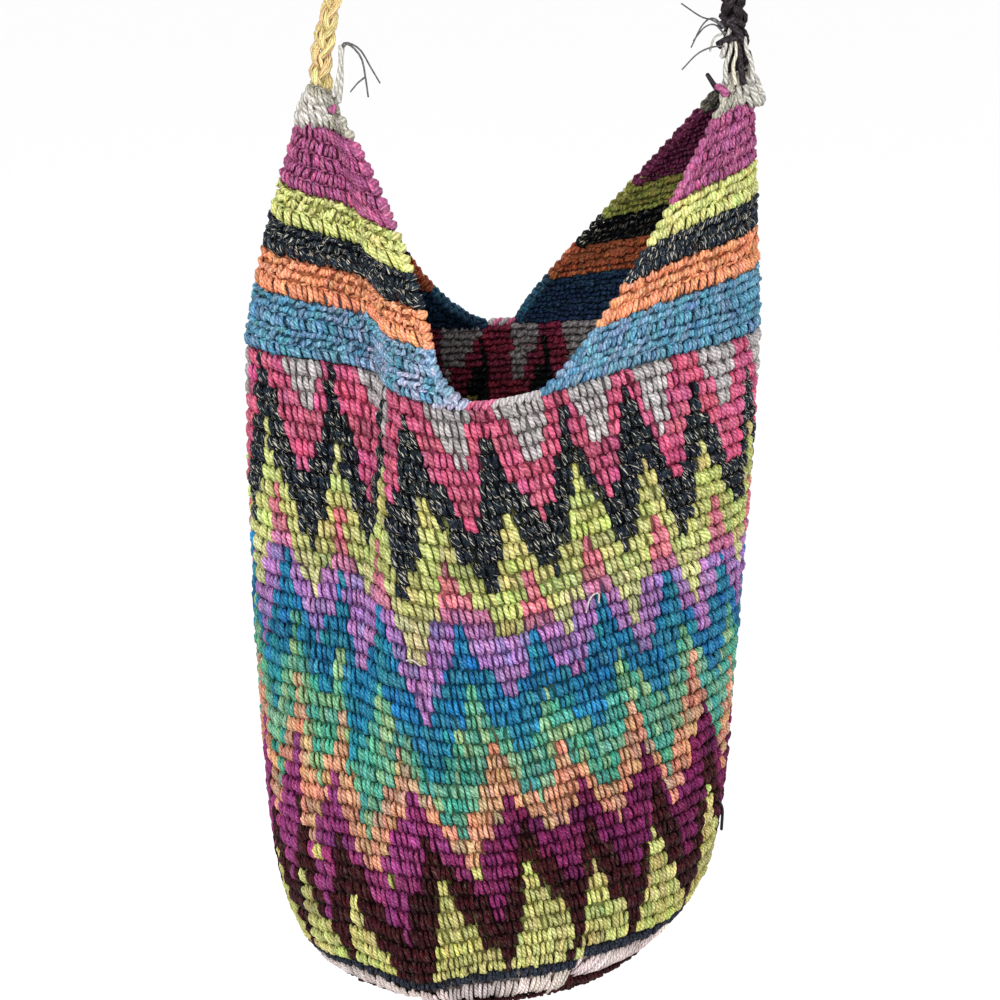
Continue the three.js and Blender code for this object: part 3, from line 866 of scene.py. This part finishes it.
def make_tab(side):
    tab = TABS[side]
    backing = Yarn()
    faces, backing_painted_shades = [[], []], []
    for row in range(TAB_STITCH_ROWS + 1):
        up = TAB_LINES[row]
        across = np.linspace(front_edge(tab, up), 1, TAB_COLUMNS)
        here = tab_face(tab, across, up)
        rise = tab_rise(tab, across, up, FACE_STEP)
        out = unit(np.cross(np.gradient(here, axis=0) * tab["outward"], rise))
        for face, depth in zip(faces, TAB_DEPTHS):
            face.append(here - depth * out)
        # The backing is in painted shade for the gaps between the stitches.
        backing_painted_shades.append(shaded(tab_colours(side, max(row - 1, 0), across), TAB_BACKING_PAINTED_SHADE))
    if tab["outward"] < 0:
        faces.reverse()
    backing.sheet(*np.array(faces)[:, ::-1], np.array(backing_painted_shades)[::-1], False)
    backing.build(f"tab_{side}_backing", MATERIALS["crochet"], "tab_crochet", f"tab_{side}")

    outside, inside = Yarn(), Yarn()
    for row in range(TAB_STITCH_ROWS):
        centre, right, up, middles = tab_row_frames(tab, row)
        out = unit(np.cross(right, up))
        fleck = 1.0 if TAB_ROW_YARNS[row] == "tweed" else 0.0
        flecks = np.full((2, len(centre)), fleck)
        colours = np.array([tab_colours(side, row, middles) for _ in range(2)])
        legs = FRONT_LEGS if row % 2 == 0 else BACK_LEGS
        if row % 2 and TAB_ROW_YARNS[row] in HERRINGBONE:
            legs = [(np.array(ends) * (-1, 1, 1), *rest) for ends, *rest in FRONT_LEGS]
        add_stitches(outside, centre, right, up, colours, flecks, legs, TAB_JITTER, TAB_PAINTED_SIDE_SHADE)
        add_edge_loops(outside, tab, row, colours[0, [0, -1]], fleck)
        if TAB_ROW_YARNS[row] == "tab_blue":
            colours = blend(colours, YARN["tab_inside"], np.full(colours.shape[:2], INSIDE_BLUE_SHARE))
        # The inside stitches are in painted shade.
        add_stitches(inside, centre - TAB_INSIDE_DEPTH * out, -right, up, shaded(colours, TAB_INSIDE_PAINTED_SHADE),
                     TAB_INSIDE_FLECKS * flecks, INSIDE_BUMPS)
    outside.build(f"tab_{side}_stitches", MATERIALS["crochet"], "tab_crochet")
    inside.build(f"tab_{side}_inside_stitches", MATERIALS["crochet"], "tab_crochet")


def add_edge_loops(yarn, tab, row, colours, fleck):
    """Loops of yarn round both edges of a tab at the ends of a row."""
    # The loops on the back edge are in painted shade.
    for place, colour in zip((-1, 1), (colours[0], shaded(colours[1], BACK_EDGE_PAINTED_SHADE))):
        for share in EDGE_LOOP_PLACES + rng.normal(0, EDGE_LOOP_JITTER, 2):
            up = TAB_LINES[row] + share * (TAB_LINES[row + 1] - TAB_LINES[row])
            at = front_edge(tab, up) if place < 0 else 1
            edge = tab_face(tab, at, up)
            away = unit(edge - tab_face(tab, NEAR_EDGE * at, up))
            out = unit(np.cross(away, tab_rise(tab, at, up, EDGE_STEP))) * tab["outward"] * place
            path = np.array([edge + beyond * away + front * out for beyond, front in EDGE_LOOP])
            yarn.strands(path[None], away[None, None], EDGE_LOOP_WIDTH, EDGE_LOOP_THICKNESS,
                         varied(colour[None]), fleck, edge=LEG_PAINTED_SIDE_SHADE)


# The rim between the tabs

RIM_EDGES = (("front", TABS["left"]["front"], TABS["right"]["front"]),
             ("back", TABS["right"]["back"], 1 + TABS["left"]["back"]))
RIM_COLOURS = {"front": ("tab_lavender", "pink", "grey", "grey"), "back": ("pink", "grey", "pink", "grey")}
# A loop of the chain: places along, in loops, and millimetres out of the wall and up. Its width and radii.
RIM_LOOP = np.array([(-0.35, 0.3, -0.6), (0.5, -1.6, 1.5), (1.5, -3.6, -0.4)])
RIM_LOOP_WIDTH = 0.8 * STITCH_WIDTH
RIM_RADIUS, RIM_THICKNESS, RIM_STATIONS, RIM_STEPS = 1.5, 1.4, 5, 100


def make_rim():
    """A row of chain loops over the edge of the mouth at the front and back."""
    yarn = Yarn()
    for side, start, end in RIM_EDGES:
        turns = np.linspace(start, end, RIM_STEPS + 1)
        lengths = arc_lengths(wall(turns, RIM))
        count = int(round(lengths[-1] / RIM_LOOP_WIDTH))
        names = RIM_COLOURS[side]
        for i in range(count):
            turn = np.interp((i + RIM_LOOP[:, 0]) / count * lengths[-1], lengths, turns)
            points = wall(turn, RIM)
            out = unit(points * (1, 1, 0))
            ends = points + out * RIM_LOOP[:, 1:2] + np.array([0, 0, 1]) * RIM_LOOP[:, 2:]
            path = bent_paths(np.zeros((1, 3)), *np.eye(3)[:, None], ends[None], RIM_STATIONS)
            colour = YARN[names[i * len(names) // count]]
            yarn.strands(path, np.array([0, 0, 1.0]), RIM_RADIUS, RIM_THICKNESS, varied(colour[None]),
                         edge=LEG_PAINTED_SIDE_SHADE)
    yarn.build("rim_chain", MATERIALS["crochet"], "body_crochet")


# Strap and ties

BRAID_PITCH, BRAID_SWING, BRAID_LIFT = 27.0, 3.0, 1.8
BRAID_STEP = 2.4
# The braid's strands and sides, and the painted shade on the side of each yarn turned away from the front.
BRAID_STRANDS, BRAID_SIDES, BRAID_PAINTED_SIDE_SHADE = 3, 5, 0.45
# How much the strands' sizes change along the braid, in two waves.
UNEVENNESS, UNEVEN_WAVES = 0.12, (0.37, 0.83)
# Each strand is a bundle of thin yarns laid round its middle, by turns nearer to it and further out.
BUNDLE, BUNDLE_RADIUS, BUNDLE_YARN, BUNDLE_TWIST = 5, 1.3, 1.0, 22.0
BUNDLE_TURN, TWIST_JITTER = 0.3, 0.3
BUNDLE_SPREAD, BUNDLE_WAVE = 0.25, 0.71
# The right half of the braid is dark and thicker: by how much, and over which share of the length it changes.
DARK_BRAID_GROWTH, DARK_FROM, DARK_TO = 0.25, 0.46, 0.54
STRAP_START = -16.0
# The ends of the strap lean inward over the tips: millimetres, and the heights between which that grows.
STRAP_LEANS, LEAN_START, LEAN_RISE = (7.0, -6.0), -5.0, 45.0


def strap_line(distance):
    """Points of the strap and directions across it at distances from the left tip."""
    rise = SHOULDER - TABS["left"]["tip_height"]
    arch = math.pi * ARCH_RADIUS
    angle = np.pi * (1 - np.clip((distance - rise) / arch, 0, 1))
    x = ARCH_MIDDLE + ARCH_RADIUS * np.cos(angle)
    z = SHOULDER + ARCH_RADIUS * np.sin(angle)
    z = z - np.maximum(rise - distance, 0) - np.maximum(distance - rise - arch, 0)
    for end, lean in zip((distance, 2 * rise + arch - distance), STRAP_LEANS):
        x = x + lean * smoothstep(LEAN_START, LEAN_RISE, end) * smoothstep(rise, LEAN_RISE, end)
    across = np.stack([np.cos(angle), 0 * angle, np.sin(angle)], -1)
    return np.stack([x, 0 * x, z], -1), across


def make_strap():
    """Three strands braided, golden up from the left tip and dark brown down to the right one."""
    length = 2 * SHOULDER - sum(tab["tip_height"] for tab in TABS.values()) + math.pi * ARCH_RADIUS
    distance = np.arange(STRAP_START, length - STRAP_START, BRAID_STEP)
    line, across = strap_line(distance)
    front = np.array([0, -1.0, 0])
    dark = smoothstep(DARK_FROM, DARK_TO, distance / length)
    yarn = Yarn()
    share = np.concatenate([np.repeat(dark, BRAID_SIDES), dark[:1], dark[-1:]])
    for strand in range(BRAID_STRANDS):
        phase = 2 * np.pi * (distance / BRAID_PITCH + strand / BRAID_STRANDS)
        waves = np.sin(UNEVEN_WAVES[0] * phase + 2 * strand) * np.sin(UNEVEN_WAVES[1] * phase + strand)
        size = (1 + DARK_BRAID_GROWTH * dark) * (1 + UNEVENNESS * waves)
        radius = BUNDLE_YARN * size
        for fibre in range(BUNDLE):
            twist = 2 * np.pi * (distance / BUNDLE_TWIST + fibre / BUNDLE + BUNDLE_TURN * strand)
            twist = twist + rng.normal(0, TWIST_JITTER)
            spread = size * BUNDLE_RADIUS * (1 + BUNDLE_SPREAD * np.sin(BUNDLE_WAVE * twist + fibre))
            swing = size * BRAID_SWING * np.sin(phase) + spread * np.cos(twist)
            lift = size * BRAID_LIFT * np.sin(2 * phase) + spread * np.sin(twist)
            path = line + across * swing[:, None] + front * lift[:, None]
            gold = varied(YARN["gold"][None])
            yarn.strands(path[None], front[None, None], radius, radius, gold, 0, BRAID_SIDES, edge=BRAID_PAINTED_SIDE_SHADE)
            colours = yarn.colours[-1]
            colours[:, :3] = blend(colours[:, :3], colours[:, :3] / YARN["gold"] * YARN["brown"], share)
    yarn.build("strap_braid", MATERIALS["braid"], "strap_braid", "strap")


# Rounds of stitches that close each tip: radius, height of their middle from the tip, height, stitches.
TIP_ROUNDS = ((8.7, -22, 7, 10), (7.6, -18, 6.5, 9), (6.2, -14, 6, 8))
# How far out these rounds lie for a millimetre below the tip, and how far each draws in towards its top.
TIP_SLANT, TIP_DRAW = 0.1, 0.25
# Points and sides of a tail, the share to which it narrows, the painted shade of its inner side and where its
# unshaded side faces.
TAIL_POINTS, TAIL_SIDES, TAIL_END, TAIL_PAINTED_SIDE_SHADE = 14, 6, 0.7, 0.5
TAIL_FACING = np.array([0, -1.0, 0.2])
# Loose tails at each tip: points in millimetres from the tip, radius, yarn.
TAILS = {
    "left": (
        (((7, -6, -15), (8, -7, -8), (8.5, -6.5, 0), (8.5, -6, 10)), 1.6, "tie_grey"),
        (((5, -7, -12), (7, -7.5, -5), (9.5, -6.5, 9)), 1.4, "tie_grey"),
        (((8, -6, 7), (10.5, -6, 11.5), (17, -6, 8.5), (22, -6, 0), (26, -6, -7)), 0.55, "tie_dark"),
        (((8, -6.5, 6), (11.5, -6.5, 11), (17.5, -6.5, 5), (19.5, -6.5, -5), (20.5, -6.5, -13)), 0.6,
         "tie_dark"),
        (((19.3, -6.5, -4), (16, -6.5, -6.5), (12.5, -6.5, -10.5)), 0.5, "tie_dark"),
        (((3.4, -9.6, -18.4), (4.4, -10, -17.2), (5.0, -9.6, -16)), 1.9, "tab_magenta"),
    ),
    "right": (
        (((-7, -6, -15), (-7.6, -6.5, -7), (-5.6, -6.5, 0), (-4.6, -5, 6)), 1.3, "tie_grey"),
        (((-3, -8, -15), (-4.4, -7.8, -7), (-3, -7.5, -1), (-3.4, -6.5, 5)), 1.0, "cream"),
        (((0.5, -8, -15), (-0.8, -8, -7), (-1.2, -7.5, -2), (-2, -6.5, 4)), 1.6, "brown"),
        (((5, -7, -14), (4.4, -7, -6), (2, -6.8, 0), (1, -6, 6)), 1.3, "tie_grey"),
        (((-9, -5, -3), (-7, -6, 6), (-5, -6, 12)), 1.4, "tie_grey"),
        (((-8, -6, 10), (-14, -7, 14), (-20, -7, 16), (-29, -7, 22)), 0.5, "tie_dark"),
        (((-8, -6, 10), (-14, -7, 15), (-19, -7, 12), (-24, -7, 2)), 0.5, "tie_dark"),
        (((-8, -6, 7), (-13, -7, 12), (-18, -7, 11), (-23, -7, 5)), 0.5, "tie_dark"),
        (((-7, -6, 2), (-14, -7, 2), (-21, -7, -1), (-28, -7, -8)), 0.5, "tie_dark"),
        (((-8, -5, 8), (-13, -6, 6), (-15, -6, 0)), 0.7, "tie_grey"),
        (((-10, -5, -19), (-13, -6, -15), (-16, -6, -10.5)), 1.5, "brown"),
        (((-7, -7, -20), (-9.5, -7.5, -17), (-12, -6.5, -16)), 2.2, "tab_magenta"),
        (((-10, -2, 2), (-5, -7, 6), (2, -3, 4)), 2.2, "brown"),
        (((1, -4, 3), (-4, -8, 10), (-10, -4, 16)), 2.1, "brown"),
        (((-10, -3, 11), (-5, -7.5, 14), (1, -3, 11)), 2.1, "brown"),
    ),
}


def make_ties():
    """The stitches that close each tip round the strap's end, and the yarn's loose tails."""
    for side, tab in TABS.items():
        yarn = Yarn()
        tip = np.array([tab["tip_x"], 0, tab["tip_height"]])
        for radius, rise, height, count in TIP_ROUNDS:
            angle = 2 * np.pi * (np.arange(count) + rng.random()) / count
            away = np.stack([np.cos(angle), np.sin(angle), 0 * angle], -1)
            right = np.stack([-np.sin(angle), np.cos(angle), 0 * angle], -1) * 2 * np.pi * radius / count
            up = np.array([0, 0, height]) - TIP_DRAW * height * away
            centre = tip + radius * away + [-tab["outward"] * TIP_SLANT * rise, 0, rise]
            grey = np.tile(YARN["tie_grey"], (2, count, 1))
            add_stitches(yarn, centre, right, up, grey, np.zeros((2, count)), ROUND_LEGS)
        for points, radius, name in TAILS[side]:
            path = smooth_curve(np.array(points, float) + tip, TAIL_POINTS)
            taper = radius * np.linspace(1, TAIL_END, TAIL_POINTS)
            yarn.strands(path[None], TAIL_FACING, taper, taper, YARN[name], 0, TAIL_SIDES, edge=TAIL_PAINTED_SIDE_SHADE)
        yarn.build(f"lashing_{side}_yarn", MATERIALS["tie"], "lashing_yarn", f"lashing_{side}")


# Loose ends on the wall: round and column, points in millimetres to the right, up and out, radius, yarn.
THREADS = (
    (14.4, 10, ((-3, -4, 0.5), (-1.5, 3, 2.5), (2.5, 4, 2.5), (3, -1, 2)), 0.5, "pale"),
    (17, -11, ((-3, 1, 0.8), (0, 2.5, 2.4), (4, 0.5, 1.6)), 0.5, "pale"),
    (32.3, 34.3, ((-0.5, 2, 0), (0.5, -3, 3), (0, -14, 4)), 0.8, "brown"),
)
THREAD_POINTS, THREAD_SIDES = 9, 5


def make_threads():
    """Ends of yarn that stand out of the wall."""
    yarn = Yarn()
    for row, column, points, radius, name in THREADS:
        stitch = np.array([column - LEAN * row])
        here = on_round(row, stitch)
        right = unit(on_round(row, stitch + 0.5) - on_round(row, stitch - 0.5))
        up = unit(on_round(row - 0.5, stitch) - on_round(row + 0.5, stitch))
        axes = np.concatenate([right, up, np.cross(right, up)])
        path = smooth_curve(np.array(points, float) @ axes + here, THREAD_POINTS)
        yarn.strands(path[None], axes[2], radius, radius, YARN[name], 0, THREAD_SIDES, edge=TAIL_PAINTED_SIDE_SHADE)
    yarn.build("wall_threads", MATERIALS["tie"], "body_crochet")


# Camera, light and floor

# The point of the bag that the camera looks at, its place round and above it in degrees, and its distance.
TARGET = np.array([0.0, 0.0, 232.0])
CAMERA_AZIMUTH, CAMERA_ELEVATION, CAMERA_DISTANCE = -8.0, 19.0, 1250.0
FOCAL_PIXELS, IMAGE_PIXELS, SENSOR = 2604.0, 1000.0, 36.0
TARGET_PIXEL_X = 506.0
# Lights: place in metres, size and power. Then the strength of the white surroundings.
LIGHTS = {"key": ((-0.9, -1.5, 0.5), 1.2, 22), "fill": ((1.3, -1.2, -0.2), 1.4, 8)}
SURROUNDINGS = 1.02
# The floor's half width and how far it lies below the bag, in metres, then its grain and roughness.
FLOOR_HALF, FLOOR_DROP = 25, 0.5
FLOOR_GRAIN, FLOOR_TONES, FLOOR_ROUGHNESS = 6.0, (0.95, 0.97), 0.9


def make_camera():
    azimuth, elevation = math.radians(CAMERA_AZIMUTH), math.radians(CAMERA_ELEVATION)
    back = Vector((math.sin(azimuth) * math.cos(elevation), -math.cos(azimuth) * math.cos(elevation),
                   math.sin(elevation)))
    right = Vector((math.cos(azimuth), math.sin(azimuth), 0))
    turn = Matrix((right, back.cross(right), back)).transposed().to_4x4()
    data = bpy.data.cameras.new("camera")
    data.sensor_width = SENSOR
    data.lens = SENSOR * FOCAL_PIXELS / IMAGE_PIXELS
    data.shift_x = (IMAGE_PIXELS / 2 - TARGET_PIXEL_X) / IMAGE_PIXELS
    camera = bpy.data.objects.new("camera", data)
    camera.matrix_world = Matrix.Translation(Vector(to_frame(TARGET)) + back * CAMERA_DISTANCE / 1000) @ turn
    bpy.context.scene.collection.objects.link(camera)
    bpy.context.scene.camera = camera


def make_area_light(name, position, size, power):
    data = bpy.data.lights.new(name, "AREA")
    data.size = size
    data.energy = power
    light = bpy.data.objects.new(name, data)
    light.location = position
    aim = Vector(to_frame(TARGET)) - light.location
    light.rotation_euler = aim.to_track_quat("-Z", "Y").to_euler()
    bpy.context.scene.collection.objects.link(light)


def make_stage():
    scene = bpy.context.scene
    scene.view_settings.view_transform = "Standard"
    scene.view_settings.look = "None"
    world = bpy.data.worlds.new("studio")
    world.use_nodes = True
    world.node_tree.nodes["Background"].inputs["Color"].default_value = (1, 1, 1, 1)
    world.node_tree.nodes["Background"].inputs["Strength"].default_value = SURROUNDINGS
    scene.world = world
    for name, (position, size, power) in LIGHTS.items():
        make_area_light(name, position, size, power)

    material, tree, node = new_material("pale_floor")
    grain = node("TexNoise", {"Scale": FLOOR_GRAIN}, "Fac")
    tone = node("MapRange", {"Value": grain, "To Min": FLOOR_TONES[0], "To Max": FLOOR_TONES[1]}, "Result")
    put(tree, tree.nodes["Principled BSDF"].inputs, {"Base Color": tone, "Roughness": FLOOR_ROUGHNESS})
    low, half = cad_box[0][2] - FLOOR_DROP, FLOOR_HALF
    mesh = bpy.data.meshes.new("floor")
    corners = [(-half, -half, low), (half, -half, low), (half, half, low), (-half, half, low)]
    mesh.from_pydata(corners, [], [(0, 1, 2, 3)])
    mesh.materials.append(material)
    floor = bpy.data.objects.new("floor", mesh)
    scene.collection.objects.link(floor)


MATERIALS = {
    "crochet": yarn_material("crochet_yarn"),
    "braid": yarn_material("braid_yarn", plies=5.0, pitch=9.0, ply_depth=0.8),
    "tie": yarn_material("tie_yarn", plies=3.0, pitch=4.0),
}

make_camera()
make_stage()
stitch_colours, stitch_flecks = wall_colours()
make_body(stitch_colours, stitch_flecks)
make_base(stitch_colours, stitch_flecks)
for tab_side in TABS:
    make_tab(tab_side)
make_rim()
make_strap()
make_ties()
make_threads()
